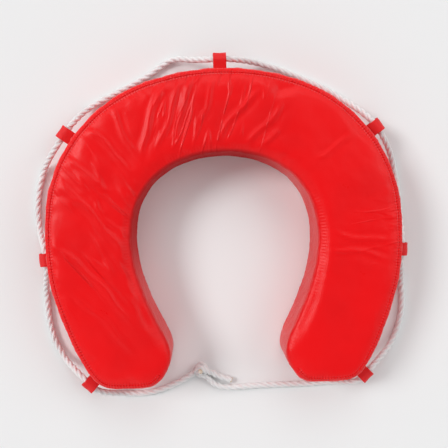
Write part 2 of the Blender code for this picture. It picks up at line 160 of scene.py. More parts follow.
# the two ends of the rope through the knot: one comes out as the tail, the other stands up out of it
KNOT_ROUTE = (
    (-0.0605, -0.2743, 0.007), (-0.0585, -0.2695, 0.0085), (-0.0515, -0.259, 0.013),
    (-0.043, -0.2585, 0.0165), (-0.0398, -0.267, 0.015), (-0.046, -0.2755, 0.0095),
    (-0.055, -0.2735, 0.012), (-0.0565, -0.2645, 0.0175), (-0.048, -0.2615, 0.021),
    (-0.041, -0.267, 0.0185), (-0.035, -0.272, 0.012), (-0.0285, -0.274, 0.009),
)
KNOT_END_ROUTE = (
    (-0.035, -0.2852, 0.0075), (-0.041, -0.2805, 0.009), (-0.0505, -0.2765, 0.0135), (-0.053, -0.2705, 0.019),
    (-0.0492, -0.2672, 0.0248),
)

# name, direction of the loop's reach in degrees, reach, eye radius
LOOPS = (
    ("loop_top", 90, 0.033, 0.009),
    ("loop_upper_left", 144, 0.033, 0.009),
    ("loop_upper_right", 36, 0.033, 0.009),
    ("loop_mid_left", 184, 0.0215, 0.0085),
    ("loop_mid_right", -4, 0.0215, 0.0085),
    ("loop_lower_left", 226, 0.033, 0.009),
    ("loop_lower_right", -46, 0.033, 0.009),
)

# turn in degrees, centre, reach, width and strength of each patch of fine creases in the front panel
FINE_CREASES = (
    (-17, (-0.02, 0.19), 0.13, 0.020, 1.1),
    (38, (-0.22, -0.01), 0.16, 0.034, 2.0),
    (98, (0.275, -0.02), 0.08, 0.020, 0.6),
)

# start, end, half width and depth of each crease in the front panel
CREASES = (
    ((-0.090, 0.235), (-0.135, 0.100), 0.0035, 0.0027),
    ((-0.070, 0.236), (-0.112, 0.118), 0.0031, 0.0020),
    ((-0.040, 0.250), (-0.078, 0.122), 0.0035, 0.0027),
    ((-0.012, 0.240), (-0.045, 0.150), 0.0027, 0.0014),
    ((0.066, 0.218), (-0.014, 0.128), 0.0035, 0.0027),
    ((0.104, 0.198), (0.028, 0.124), 0.0035, 0.0022),
    ((0.096, 0.152), (0.064, 0.122), 0.0027, 0.0017),
    ((-0.280, 0.080), (-0.160, -0.060), 0.0043, 0.0029),
    ((-0.215, 0.045), (-0.165, -0.020), 0.0031, 0.0022),
    ((-0.295, -0.015), (-0.145, -0.185), 0.0043, 0.0027),
    ((-0.255, 0.120), (-0.175, 0.050), 0.0035, 0.0017),
    ((-0.225, 0.165), (-0.150, 0.078), 0.0035, 0.0022),
    ((-0.180, 0.200), (-0.135, 0.105), 0.0031, 0.0017),
    ((-0.265, -0.100), (-0.150, -0.225), 0.0039, 0.0017),
    ((0.175, -0.020), (0.285, -0.035), 0.0031, 0.0013),
    ((0.165, -0.050), (0.280, -0.070), 0.0031, 0.0013),
    ((0.150, 0.100), (0.215, 0.145), 0.0035, 0.0013),
)


# ---------------------------------------------------------------- sizes and colours

class CoverSettings(bpy.types.PropertyGroup):
    red: bpy.props.FloatVectorProperty(
        name="Red", description="Colour of the coated fabric", subtype="COLOR", size=3, min=0, max=1,
        default=(0.85, 0.001, 0.003))
    # shade is the darker red of random patches and of the seam lines, and also the painted shade on the wall
    # inside the opening
    shade: bpy.props.FloatVectorProperty(
        name="Shade", description="Darker red in the fabric's folds", subtype="COLOR", size=3, min=0, max=1,
        default=(0.66, 0.002, 0.004))
    scuff: bpy.props.FloatVectorProperty(
        name="Scuff", description="Paler red where the coating is rubbed", subtype="COLOR", size=3,
        min=0, max=1, default=(0.86, 0.05, 0.06))
    voxel: bpy.props.FloatProperty(
        name="Voxel", description="Size of the remesh that the cover is simulated on", subtype="DISTANCE",
        unit="LENGTH", default=0.005, min=0.004, max=0.02)
    slack: bpy.props.FloatProperty(
        name="Slack", description="How far the cover starts inside its sewn size", subtype="DISTANCE",
        unit="LENGTH", default=0.001, min=0, max=0.01)
    pressure: bpy.props.FloatProperty(
        name="Pressure", description="Air and foam pressure that fills the cover", default=4.0, min=0, max=20)
    crown: bpy.props.FloatProperty(
        name="Crown", description="Most that the panels swell", subtype="DISTANCE", unit="LENGTH",
        default=0.005, min=0, max=0.02)
    crease: bpy.props.FloatProperty(
        name="Crease", description="Strength of the creases", default=1.0, min=0, max=3)
    pucker: bpy.props.FloatProperty(
        name="Pucker pitch", description="Spacing of the puckers along the seams", subtype="DISTANCE",
        unit="LENGTH", default=0.005, min=0.002, max=0.02)


class RopeSettings(bpy.types.PropertyGroup):
    white: bpy.props.FloatVectorProperty(
        name="White", description="Colour of the rope", subtype="COLOR", size=3, min=0, max=1,
        default=(0.96, 0.955, 0.95))
    # painted shade: a greyer colour put between the strands and in the hollows between the yarns
    groove_shade: bpy.props.FloatVectorProperty(
        name="Groove", description="Greyer colour between the strands", subtype="COLOR", size=3, min=0, max=1,
        default=(0.84, 0.82, 0.84))
    melt: bpy.props.FloatVectorProperty(
        name="Melt", description="Tint of the heat-sealed ends", subtype="COLOR", size=3, min=0, max=1,
        default=(0.62, 0.50, 0.36))
    lay: bpy.props.FloatProperty(
        name="Lay", description="Length of one full turn of a strand", subtype="DISTANCE", unit="LENGTH",
        default=0.042, min=0.02, max=0.1)
    length: bpy.props.FloatProperty(
        name="Length", description="Length of rope from knot to knot", subtype="DISTANCE", unit="LENGTH",
        default=2.29, min=1, max=4)


class StrapSettings(bpy.types.PropertyGroup):
    width: bpy.props.FloatProperty(
        name="Width", description="Width of a loop's strap", subtype="DISTANCE", unit="LENGTH",
        default=0.0225, min=0.01, max=0.05)
    thickness: bpy.props.FloatProperty(
        name="Thickness", description="Thickness of a loop's strap", subtype="DISTANCE", unit="LENGTH",
        default=0.0015, min=0.0005, max=0.004)
    red: bpy.props.FloatVectorProperty(
        name="Red", description="Colour of the straps", subtype="COLOR", size=3, min=0, max=1,
        default=(0.86, 0.006, 0.009))


class ZipSettings(bpy.types.PropertyGroup):
    pitch: bpy.props.FloatProperty(
        name="Pitch", description="Spacing of the coil's turns", subtype="DISTANCE", unit="LENGTH",
        default=0.002, min=0.001, max=0.005)
    tape: bpy.props.FloatVectorProperty(
        name="Tape", description="Colour of the zip's tape", subtype="COLOR", size=3, min=0, max=1,
        default=(0.35, 0.01, 0.012))
    metal: bpy.props.FloatVectorProperty(
        name="Metal", description="Colour of the slider and stops", subtype="COLOR", size=3, min=0, max=1,
        default=(0.62, 0.62, 0.60))


class StageSettings(bpy.types.PropertyGroup):
    floor: bpy.props.FloatVectorProperty(
        name="Floor", description="Colour of the floor", subtype="COLOR", size=3, min=0, max=1,
        default=(0.85, 0.855, 0.855))
    lens: bpy.props.FloatProperty(
        name="Lens", description="Focal length of the camera", subtype="DISTANCE_CAMERA",
        default=47.1, min=10, max=200)
    key: bpy.props.FloatProperty(
        name="Key", description="Strength of the main light", default=1.42, min=0, max=20)
    fill: bpy.props.FloatProperty(
        name="Fill", description="Strength of each soft fill light", default=0.56, min=0, max=20)


# ---------------------------------------------------------------- materials

class Value:
    """A socket of a node tree, which takes part in sums."""

    def __init__(self, nodes, socket):
        self.nodes = nodes
        self.socket = socket

    def _math(self, operation, *values):
        return self.nodes.node("ShaderNodeMath", {"operation": operation}, dict(enumerate(values)))

    def __add__(self, other):
        return self._math("ADD", self, other)

    __radd__ = __add__

    def __sub__(self, other):
        return self._math("SUBTRACT", self, other)

    def __rsub__(self, other):
        return self._math("SUBTRACT", other, self)

    def __mul__(self, other):
        return self._math("MULTIPLY", self, other)

    __rmul__ = __mul__

    def __truediv__(self, other):
        return self._math("DIVIDE", self, other)

    def __rtruediv__(self, other):
        return self._math("DIVIDE", other, self)

    def __pow__(self, other):
        return self._math("POWER", self, other)

    def __abs__(self):
        return self._math("ABSOLUTE", self)

    def sine(self):
        return self._math("SINE", self)

    def waves(self, pitch):
        """A sine that repeats every pitch of a length."""
        return (self * (2 * pi / pitch)).sine()

    def smooth(self, low, high):
        """0 below low, 1 above high, and a smooth step between them."""
        return self.nodes.node(
            "ShaderNodeMapRange", {"interpolation_type": "SMOOTHSTEP"},
            {"Value": self, "From Min": low, "From Max": high})


class Nodes:
    """A node tree that nodes are added to."""

    def __init__(self, tree):
        self.tree = tree

    def node(self, kind, settings=None, inputs=None, output=0):
        """A node of that kind, with its settings made first, and the values or links of its sockets."""
        made = self.tree.nodes.new(kind)
        for key, value in (settings or {}).items():
            if key == "stops":
                ramp = made.color_ramp
                while len(ramp.elements) < len(value):
                    ramp.elements.new(0.5)
                for element, (place, colour) in zip(ramp.elements, value):
                    element.position = place
                    element.color = colour
            else:
                setattr(made, key, value)
        for key, value in (inputs or {}).items():
            if isinstance(value, Value):
                self.tree.links.new(value.socket, made.inputs[key])
            else:
                made.inputs[key].default_value = value
        return Value(self, made.outputs[output])

    def parts(self, vector):
        """The three numbers in a vector."""
        made = self.node("ShaderNodeSeparateXYZ", None, {0: vector})
        return [Value(self, socket) for socket in made.socket.node.outputs]


class Finish(Nodes):
    """A material with one Principled shader."""

    def __init__(self, name, **constants):
        self.material = bpy.data.materials.new(name)
        self.material.use_nodes = True
        super().__init__(self.material.node_tree)
        self.shader = self.tree.nodes["Principled BSDF"]
        for socket, value in constants.items():
            self.shader.inputs[socket.replace("_", " ")].default_value = value

    def mix(self, share, one, other):
        """Colour one where share is 0, and the other where it is 1."""
        return self.node(
            "ShaderNodeMix", {"data_type": "RGBA"}, {0: share, 6: colour4(one), 7: colour4(other)}, output=2)

    def place(self):
        return self.node("ShaderNodeTexCoord", output="Object")

    def uv(self, name):
        """The two parts of a UV map."""
        point = self.node("ShaderNodeUVMap", {"uv_map": name})
        return self.parts(point)[:2]

    def noise(self, scale, detail=3.0, vector=None, rough=0.5):
        return self.node(
            "ShaderNodeTexNoise", None,
            {"Vector": vector or self.place(), "Scale": scale, "Detail": detail, "Roughness": rough})

    def bump(self, height, distance, strength=1.0):
        return self.node(
            "ShaderNodeBump", None, {"Height": height, "Distance": distance, "Strength": strength})

    def feed(self, **links):
        for socket, value in links.items():
            self.tree.links.new(value.socket, self.shader.inputs[socket.replace("_", " ")])
        return self.material


def colour4(value):
    return value if isinstance(value, Value) else (*value[:3], 1.0)


def fine_crease_height(f, x, y, z):
    """Sharp, broken ridges on the front panel, which run one way in each patch."""
    total = 0
    for turn, centre, reach, width, strength in FINE_CREASES:
        slanted = f.node("ShaderNodeMapping", {"vector_type": "TEXTURE"}, {
            "Vector": f.place(), "Rotation": (0, 0, radians(turn)), "Scale": (width, width * 6, width * 6)})
        ridge = 1 - abs(f.noise(1.0, 1, slanted, 0.4) - 0.5).smooth(0.0, 0.06)
        gap = ((x - centre[0]) ** 2 + (y - centre[1]) ** 2) ** 0.5
        broken = f.noise(0.42 / width, 2).smooth(0.36, 0.52)
        total = ridge * broken * (1 - gap.smooth(reach * 0.45, reach)) * strength + total
    return total * z.smooth(FRONT - 0.012, FRONT - 0.004)


def coated_fabric():
    """Semi-gloss coated cloth, with puckers along its seams, paler rubbed edges and painted shade on the wall
    inside the opening.
    """
    known = bpy.data.materials.get("coated_fabric_red")
    if known:
        return known
    cover = bpy.context.scene.lifebuoy_cover
    f = Finish("coated_fabric_red", Specular_IOR_Level=0.26)
    run, away = f.uv("seam")
    x, y, z = f.parts(f.place())
    cloud = f.noise(9, 3)
    fine = f.noise(420, 2)
    outer = run.smooth(EDGE.outer[0] - 0.01, EDGE.outer[0] + 0.01) * (
        1 - run.smooth(EDGE.outer[1] - 0.01, EDGE.outer[1] + 0.01))
    seam = (1 - abs(away + SEAM_INSET).smooth(0.0, 0.0085)) * (outer * 0.8 + 0.2)
    pucker = run.waves(cover.pucker)
    uneven = f.noise(60, 1)
    edge = away.smooth(-0.009, -0.003)
    rim = edge * abs(z - MIDDLE).smooth(MIDDLE * 0.80, MIDDLE * 0.93)
    rub = rim * f.noise(75, 4).smooth(0.48, 0.62)
    colour = f.mix(cloud.smooth(0.40, 0.75) * 0.32, cover.red, cover.shade)
    colour = f.mix(seam * (pucker * 0.5 + 0.5) * 0.12, colour, cover.shade)
    colour = f.mix(rub * 0.16, colour, cover.scuff)
    # painted shade: the wall inside the opening is darkened, and darker still on its left and top parts,
    # which face away from the key light; those parts are also made rougher
    inner_wall_shade = (1 - outer) * away.smooth(-0.008, -0.001)
    shaded = inner_wall_shade * (1 - x.smooth(0.03, 0.12)) * y.smooth(-0.13, 0.02)
    colour = f.mix(inner_wall_shade * 0.25, colour, tuple(part * 0.7 for part in cover.shade))
    colour = f.mix(shaded * 0.6, colour, tuple(part * 0.5 for part in cover.shade))
    weave = x.waves(CLOTH_WEAVE) + y.waves(CLOTH_WEAVE) + z.waves(CLOTH_WEAVE)
    height = pucker * seam * (uneven * 0.7 + 0.5) * 0.55 + weave * 0.022 + fine * 0.10 + f.noise(70, 3) * 0.45
    height = height + fine_crease_height(f, x, y, z)
    rough = f.noise(24, 3) * 0.14 + rub * 0.18 + fine * 0.04 + shaded * 0.4 + 0.22
    return f.feed(Base_Color=colour, Roughness=rough, Normal=f.bump(height, 0.0011, 0.85))


def webbing():
    known = bpy.data.materials.get("strap_webbing_red")
    if known:
        return known
    strap = bpy.context.scene.lifebuoy_strap
    f = Finish("strap_webbing_red", Specular_IOR_Level=0.4)
    across, along = f.uv("weave")
    rib = along.waves(STRAP_RIB)
    pick = across.waves(STRAP_PICK)
    edge = abs(across).smooth(strap.width * 0.42, strap.width * 0.5)
    worn = edge * f.noise(160, 3).smooth(0.45, 0.65)
    dark = tuple(part * 0.62 for part in strap.red)
    pale = (0.80, 0.07, 0.08)
    colour = f.mix((rib * pick * 0.5 + 0.5) * 0.35, strap.red, dark)
    colour = f.mix(worn * 0.4, colour, pale)
    rough = f.noise(90, 2) * 0.15 + 0.42
    height = rib * pick * 0.5 + rib * 0.3
    return f.feed(Base_Color=colour, Roughness=rough, Normal=f.bump(height, 0.0003, 0.8))


def thread():
    known = bpy.data.materials.get("thread_red")
    if known:
        return known
    f = Finish("thread_red", Specular_IOR_Level=0.3)
    spun = f.noise(1500, 2)
    # worn here is no wear: it makes the thread paler towards the top (higher y) and nearer the cover's red
    # towards the bottom
    worn = f.parts(f.place())[1].smooth(-0.16, 0.04) * 0.8 + 0.2
    return f.feed(
        Base_Color=f.mix(spun * worn, (0.82, 0.02, 0.025), (0.96, 0.22, 0.23)), Roughness=spun * 0.2 + 0.45,
        Normal=f.bump(spun, 0.0002, 0.6))


def laid_rope(sealed=False):
    name = "rope_sealed_end" if sealed else "rope_white"
    known = bpy.data.materials.get(name)
    if known:
        return known
    rope = bpy.context.scene.lifebuoy_rope
    f = Finish(name, Specular_IOR_Level=0.3, Sheen_Weight=0.15)
    if sealed:
        lump = f.noise(260, 3)
        return f.feed(
            Base_Color=f.mix(lump.smooth(0.35, 0.65), rope.melt, (0.80, 0.74, 0.64)),
            Roughness=lump * 0.25 + 0.32,
            Normal=f.bump(lump, 0.0006, 0.7))
    turn, run = f.uv("strand")
    yarns = 27
    yarn = ((turn + run / rope.lay) * (2 * pi * yarns)).sine()
    ridge = (turn * (2 * pi * 3)).sine()
    # painted shade: greyer between the strands, and a little greyer in the hollows between the yarns
    groove_shade = 1 - ridge.smooth(-0.95, -0.25)
    ply = f.noise(900, 2)
    soil = f.noise(28, 4).smooth(0.52, 0.78)
    colour = f.mix(groove_shade * 0.5, rope.white, rope.groove_shade)
    colour = f.mix((yarn * -0.5 + 0.5) * 0.16, colour, rope.groove_shade)
    colour = f.mix(soil * 0.10, colour, (0.62, 0.56, 0.47))
    return f.feed(
        Base_Color=colour, Roughness=ply * 0.2 + 0.5,
        Normal=f.bump(yarn * 0.5 + ply * 0.35, 0.00045, 0.8))


def zip_cloth():
    f = Finish("zip_tape_red", Specular_IOR_Level=0.25)
    x, y, z = f.parts(f.place())
    weft = z.waves(TAPE_WEFT)
    warp = x.waves(TAPE_WARP)
    weave = weft * warp * 0.5 + 0.5
    tape = bpy.context.scene.lifebuoy_zip.tape
    dark = tuple(part * 0.55 for part in tape)
    return f.feed(
        Base_Color=f.mix(weave * 0.6, tape, dark), Roughness=f.noise(140, 2) * 0.12 + 0.62,
        Normal=f.bump(weave, 0.00025, 0.8))


def zip_coil():
    f = Finish("zip_coil_red", Specular_IOR_Level=0.45)
    tape = bpy.context.scene.lifebuoy_zip.tape
    worn = f.noise(300, 3)
    lighter = tuple(min(1.0, part * 1.6 + 0.01) for part in tape)
    return f.feed(
        Base_Color=f.mix(worn.smooth(0.4, 0.7), tape, lighter), Roughness=worn * 0.2 + 0.28,
        Normal=f.bump(worn, 0.0001, 0.4))


def zip_plating():
    f = Finish("zip_metal_satin", Metallic=1.0)
    grain = f.node("ShaderNodeTexNoise", None, {
        "Vector": f.node("ShaderNodeMapping", None, {"Vector": f.place(), "Scale": (400, 400, 4000)}),
        "Scale": 1.0, "Detail": 2.0})
    worn = f.noise(500, 3).smooth(0.5, 0.7)
    metal = bpy.context.scene.lifebuoy_zip.metal
    return f.feed(
        Base_Color=f.mix(worn * 0.5, metal, (0.44, 0.42, 0.38)), Roughness=grain * 0.2 + worn * 0.15 + 0.2,
        Normal=f.bump(grain, 0.0001, 0.4))


def cell_foam():
    f = Finish("foam_closed_cell", Specular_IOR_Level=0.2)
    cells = f.node("ShaderNodeTexVoronoi", None, {"Vector": f.place(), "Scale": 550.0})
    tone = f.noise(30, 3)
    return f.feed(
        Base_Color=f.mix(tone, (0.82, 0.81, 0.76), (0.90, 0.90, 0.87)), Roughness=tone * 0.1 + 0.75,
        Normal=f.bump(cells, 0.0005, 0.6))


def pale_floor():
    stage = bpy.context.scene.lifebuoy_stage
    f = Finish("floor_pale", Specular_IOR_Level=0.0)
    tone = f.noise(3, 2)
    colour = f.mix(tone, stage.floor, tuple(part * 0.995 for part in stage.floor))
    return f.feed(Base_Color=colour, Roughness=tone * 0.05 + 0.9)


# ---------------------------------------------------------------- shapes

def deselect():
    if bpy.context.mode != "OBJECT":
        bpy.ops.object.mode_set(mode="OBJECT")
    bpy.ops.object.select_all(action="DESELECT")


def select_only(obj):
    deselect()
    obj.select_set(True)
    bpy.context.view_layer.objects.active = obj


def mesh_of(bm, name, outward=True, smooth=True):
    """A mesh with the faces of a bmesh, which is then freed."""
    if outward:
        bmesh.ops.recalc_face_normals(bm, faces=bm.faces)
    for face in bm.faces:
        face.smooth = smooth
    mesh = bpy.data.meshes.new(name)
    bm.to_mesh(mesh)
    bm.free()
    return mesh


def piece(name, mesh, look, body="buoy"):
    """A new object for a finished mesh, riding on a body."""
    obj = bpy.data.objects.new(name, mesh)
    bpy.context.scene.collection.objects.link(obj)
    mesh.materials.append(look)
    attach(obj, body)
    return obj


def apply_all(obj):
    """Applies every modifier of an object."""
    select_only(obj)
    for modifier in list(obj.modifiers):
        bpy.ops.object.modifier_apply(modifier=modifier.name)


def smooth_by_angle(obj, degrees):
    select_only(obj)
    bpy.ops.object.shade_smooth_by_angle(angle=radians(degrees))


def ease(value):
    value = np.clip(value, 0, 1)
    return value * value * (3 - 2 * value)


def spline(points, spacing, closed=False):
    """Points about a spacing apart on a smooth curve through the given ones."""
    points = [Vector(p) for p in points]
    if closed:
        points = [points[-1]] + points + points[:2]
    else:
        points = [points[0] * 2 - points[1]] + points + [points[-1] * 2 - points[-2]]
    run = []
    for a, b, c, d in zip(points, points[1:], points[2:], points[3:]):
        ta, tb, tc = (b - a).length ** 0.5, (c - b).length ** 0.5, (d - c).length ** 0.5
        leave = ((b - a) / ta - (c - a) / (ta + tb) + (c - b) / tb) * tb
        arrive = ((c - b) / tb - (d - b) / (tb + tc) + (d - c) / tc) * tb
        steps = max(1, round((c - b).length / spacing))
        for i in range(steps):
            t = i / steps
            s = 1 - t
            first, last = b * s ** 3, c * t ** 3
            run.append(first + (b + leave / 3) * (3 * s * s * t) + (c - arrive / 3) * (3 * s * t * t) + last)
    if not closed:
        run.append(points[-2])
    return run


def even(points, spacing, closed=False):
    """The same line with its points evenly spaced."""
    if closed:
        points = points + [points[0]]
    runs = [0.0]
    for a, b in zip(points, points[1:]):
        runs.append(runs[-1] + (b - a).length)
    count = max(2, round(runs[-1] / spacing))
    made, i = [], 0
    for k in range(count + (0 if closed else 1)):
        want = runs[-1] * k / count
        while i < len(runs) - 2 and runs[i + 1] < want:
            i += 1
        span = runs[i + 1] - runs[i] or 1
        made.append(points[i].lerp(points[i + 1], (want - runs[i]) / span))
    return made


class Edge:
    """The cover's edge seen from the front, as evenly spaced points with their outward ways."""

    def __init__(self, corners, outset, spacing=0.004):
        line = even(spline([Vector(c) for c in corners], spacing, closed=True), spacing, closed=True)
        area = sum(a.x * b.y - b.x * a.y for a, b in zip(line, line[1:] + line[:1]))
        if area < 0:
            line.reverse()
        top = min((p for p in line if abs(p.x) < spacing), key=lambda p: p.y)
        first = line.index(top)
        line = line[first:] + line[:first]
        self.points, self.ways = [], []
        for i, point in enumerate(line):
            along = (line[(i + 1) % len(line)] - line[i - 1]).normalized()
            way = Vector((along.y, -along.x))
            self.points.append(point + way * outset)
            self.ways.append(way)
        self.runs = [0.0]
        for a, b in zip(self.points, self.points[1:] + self.points[:1]):
            self.runs.append(self.runs[-1] + (b - a).length)
        self.length = self.runs.pop()
        self.tree = KDTree(len(self.points))
        for i, point in enumerate(self.points):
            self.tree.insert((point.x, point.y, 0), i)
        self.tree.balance()
        middle = Vector((0, -0.02))
        outer = [i for i, (p, w) in enumerate(zip(self.points, self.ways)) if w.dot(p - middle) > 0.03]
        self.outer_part = slice(outer[0], outer[-1] + 1)
        self.outer = (self.runs[outer[0]], self.runs[outer[-1]])

    def near(self, x, y):
        """How far along the edge the nearest place is, how far outside it the point is, and its number."""
        at, number, gap = self.tree.find((x, y, 0))
        way = self.ways[number]
        step = Vector((x - at.x, y - at.y))
        return self.runs[number] + step.x * -way.y + step.y * way.x, step.dot(way), number

    def moved(self, out, z):
        return [Vector((*(p + w * out), z)) for p, w in zip(self.points, self.ways)]


def panel_corners(node):
    """The rim of a panel's front face, in order, in plan."""
    bm = bmesh.new()
    bm.from_mesh(frame["nodes"][node].data)
    bmesh.ops.remove_doubles(bm, verts=bm.verts, dist=1e-6)
    top = max(v.co.z for v in bm.verts)
    front = {f for f in bm.faces if all(v.co.z > top - 1e-5 for v in f.verts)}
    rim = {}
    for edge in bm.edges:
        if len([f for f in edge.link_faces if f in front]) == 1:
            one, other = edge.verts
            rim.setdefault(one, []).append(other)
            rim.setdefault(other, []).append(one)
    first = next(iter(rim))
    walk, last, here = [first], None, first
    while True:
        step = next(v for v in rim[here] if v is not last)
        if step is first:
            break
        walk.append(step)
        last, here = here, step
    corners = [v.co.xy.copy() for v in walk]
    bm.free()
    return corners


EDGE = Edge(panel_corners("cover_front"), PANEL_INSET)


def bridge(bm, one, other):
    """A band of faces between two rings."""
    for i in range(len(one)):
        j = (i + 1) % len(one)
        bm.faces.new((one[i], one[j], other[j], other[i]))


def cover_start(inset, rounding, turns=4):
    """The sewn cover before it is filled: a closed prism with rounded edges, inset all over."""
    levels = []
    for k in range(turns + 1):
        angle = pi / 2 * k / turns
        levels.append((rounding * (1 - sin(angle)), rounding * (1 - cos(angle))))
    levels = [(out, inset + z) for out, z in levels]
    levels += [(out, FRONT - z) for out, z in reversed(levels)]
    bm = bmesh.new()
    rings = [[bm.verts.new(p) for p in EDGE.moved(-inset - out, z)] for out, z in levels]
    for one, other in zip(rings, rings[1:]):
        bridge(bm, one, other)
    bm.faces.new(rings[0])
    bm.faces.new(rings[-1])
    return mesh_of(bm, "cover_start", smooth=False)


def coordinates(mesh):
    flat = np.zeros(len(mesh.vertices) * 3)
    mesh.vertices.foreach_get("co", flat)
    return flat.reshape(-1, 3)


def vertex_normals(mesh):
    flat = np.zeros(len(mesh.vertices) * 3)
    mesh.vertices.foreach_get("normal", flat)
    return flat.reshape(-1, 3)


def fill_with_air(obj, pressure):
    """Swells a mesh as sealed cloth, and gives its new points."""
    cloth = obj.modifiers.new("fill", "CLOTH")
    fabric = cloth.settings
    fabric.quality = 6
    fabric.mass = 0.3
    fabric.tension_stiffness = 18
    fabric.compression_stiffness = 12
    fabric.shear_stiffness = 6
    fabric.bending_stiffness = 0.3
    fabric.use_pressure = True
    fabric.uniform_pressure_force = pressure
    fabric.shrink_min = -0.012
    fabric.effector_weights.gravity = 0
    cloth.point_cache.frame_start = 1
    cloth.point_cache.frame_end = FILL_FRAMES
    scene = bpy.context.scene
    for number in range(1, FILL_FRAMES + 1):
        scene.frame_set(number)
    swollen = obj.evaluated_get(bpy.context.evaluated_depsgraph_get())
    points = coordinates(swollen.data)
    obj.modifiers.remove(cloth)
    scene.frame_set(1)
    return points


def crease_depths(x, y):
    """How far the front panel's creases lift or sink it at each place."""
    total = np.zeros(len(x))
    for number, (start, end, wide, deep) in enumerate(CREASES):
        a, b = np.array(start), np.array(end)
        along = b - a
        length = np.linalg.norm(along)
        along = along / length
        run = ((x - a[0]) * along[0] + (y - a[1]) * along[1]) / length
        side = (x - a[0]) * -along[1] + (y - a[1]) * along[0]
        bow = 0.05 * length * np.sin(run * pi) * (1 if number % 2 else -1)
        wave = 0.0016 * np.sin(run * length * 90 + number)
        side = side - bow - wave
        fade = ease(run / 0.22) * ease((1 - run) / 0.30)
        fade = np.where((run > 0) & (run < 1), fade, 0)
        crest = np.exp(-np.abs(side) / wide)
        valley = -0.55 * np.exp(-(((side - 2.4 * wide) / (1.6 * wide)) ** 2))
        hollow = -0.35 * np.exp(-(((side + 2.6 * wide) / (1.8 * wide)) ** 2))
        total += deep * fade * (crest + valley + hollow)
    return total


def wobble(points, scale, seed):
    shift = Vector((seed * 7.1, seed * 3.7, seed * 5.3))
    return np.array([noise.noise(Vector(p) * scale + shift) for p in points])


def mark_seams(mesh):
    """A UV map that holds how far along the edge each corner lies, and how far outside it."""
    layer = mesh.uv_layers.new(name="seam")
    values = np.array([EDGE.near(v.co.x, v.co.y)[:2] for v in mesh.vertices])
    corners = np.zeros(len(mesh.loops), int)
    mesh.loops.foreach_get("vertex_index", corners)
    uv = values[corners]
    for polygon in mesh.polygons:
        span = slice(polygon.loop_start, polygon.loop_start + polygon.loop_total)
        runs = uv[span, 0]
        if runs.max() - runs.min() > EDGE.length / 2:
            runs[runs < EDGE.length / 2] += EDGE.length
    layer.data.foreach_set("uv", uv.astype(np.float32).ravel())


def strand_tube(name, points, look, radius=ROPE_THICK / 2, sides=24, start_turn=0.0):
    """A three-strand laid rope along a line of evenly spaced points."""
    lay = bpy.context.scene.lifebuoy_rope.lay
    offset = radius * 0.40
    lobe = radius - offset
    # a quarter of a strand, which puts the crests of the sine on the strands
    crest_shift = 1 / 12
    bm = bmesh.new()
    layer = bm.loops.layers.uv.new("strand")
    along = [(b - a).normalized() for a, b in zip(points, points[1:])]
    along = [along[0]] + [(a + b).normalized() for a, b in zip(along, along[1:])] + [along[-1]]
    side = along[0].orthogonal().normalized()
    rings, runs, run = [], [], 0.0
    for k, (point, way) in enumerate(zip(points, along)):
        if k:
            side = (side - way * side.dot(way)).normalized()
            run += (point - points[k - 1]).length
        up = way.cross(side)
        thick = 1 + 0.03 * noise.noise(point * 90)
        ring = []
        for i in range(sides):
            angle = 2 * pi * i / sides
            lobe_angle = (angle + pi / 3) % (2 * pi / 3) - pi / 3
            reach = offset * cos(lobe_angle) + math.sqrt(lobe * lobe - (offset * sin(lobe_angle)) ** 2)
            turned = angle + start_turn + 2 * pi * run / lay
            ring.append(bm.verts.new(point + (side * cos(turned) + up * sin(turned)) * reach * thick))
        rings.append(ring)
        runs.append(run)
    for k, (one, other) in enumerate(zip(rings, rings[1:])):
        for i in range(sides):
            j = (i + 1) % sides
            face = bm.faces.new((one[i], one[j], other[j], other[i]))
            us = (i, i + 1, i + 1, i)
            vs = (runs[k], runs[k], runs[k + 1], runs[k + 1])
            for loop, u, v in zip(face.loops, us, vs):
                loop[layer].uv = (u / sides + crest_shift, v)
    for ring in (rings[0], rings[-1]):
        centre = bm.verts.new(sum((v.co for v in ring), Vector()) / sides)
        for i in range(sides):
            bm.faces.new((ring[i], ring[(i + 1) % sides], centre))
    return piece(name, mesh_of(bm, name), look)


def bead_line(name, points, ups, radius, look, sides=6, flat=0.75):
    """A raised welt along a line on the cover, flattened along the given normals."""
    bm = bmesh.new()
    rings = []
    for k, (point, up) in enumerate(zip(points, ups)):
        before, after = points[max(k - 1, 0)], points[min(k + 1, len(points) - 1)]
        way = (after - before).normalized()
        side = way.cross(up).normalized()
        up = side.cross(way)
        ring = []
        for i in range(sides):
            angle = 2 * pi * i / sides
            ring.append(bm.verts.new(point + side * radius * cos(angle) + up * radius * flat * sin(angle)))
        rings.append(ring)
    for one, other in zip(rings, rings[1:]):
        bridge(bm, one, other)
    bm.faces.new(rings[0])
    bm.faces.new(rings[-1])
    return piece(name, mesh_of(bm, name), look)


def one_stitch():
    """A single sewn stitch: a short thread that dives into the cloth at both ends."""
    deselect()
    bpy.ops.mesh.primitive_cylinder_add(
        vertices=6, radius=STITCH_RADIUS, depth=STITCH_LENGTH, rotation=(0, pi / 2, 0))
    obj = bpy.context.object
    bpy.ops.object.transform_apply(location=True, rotation=True, scale=True)
    bpy.ops.object.mode_set(mode="EDIT")
    bpy.ops.mesh.select_mode(type="FACE")
    bpy.ops.mesh.select_all(action="DESELECT")
    bpy.ops.object.mode_set(mode="OBJECT")
    for face in obj.data.polygons:
        face.select = abs(face.normal.x) > 0.9
    bpy.ops.object.mode_set(mode="EDIT")
    bpy.ops.mesh.inset(thickness=0.00012)
    bpy.ops.transform.translate(value=(0, 0, -0.0003))
    bpy.ops.object.mode_set(mode="OBJECT")
    mesh = obj.data
    bpy.data.objects.remove(obj)
    return mesh


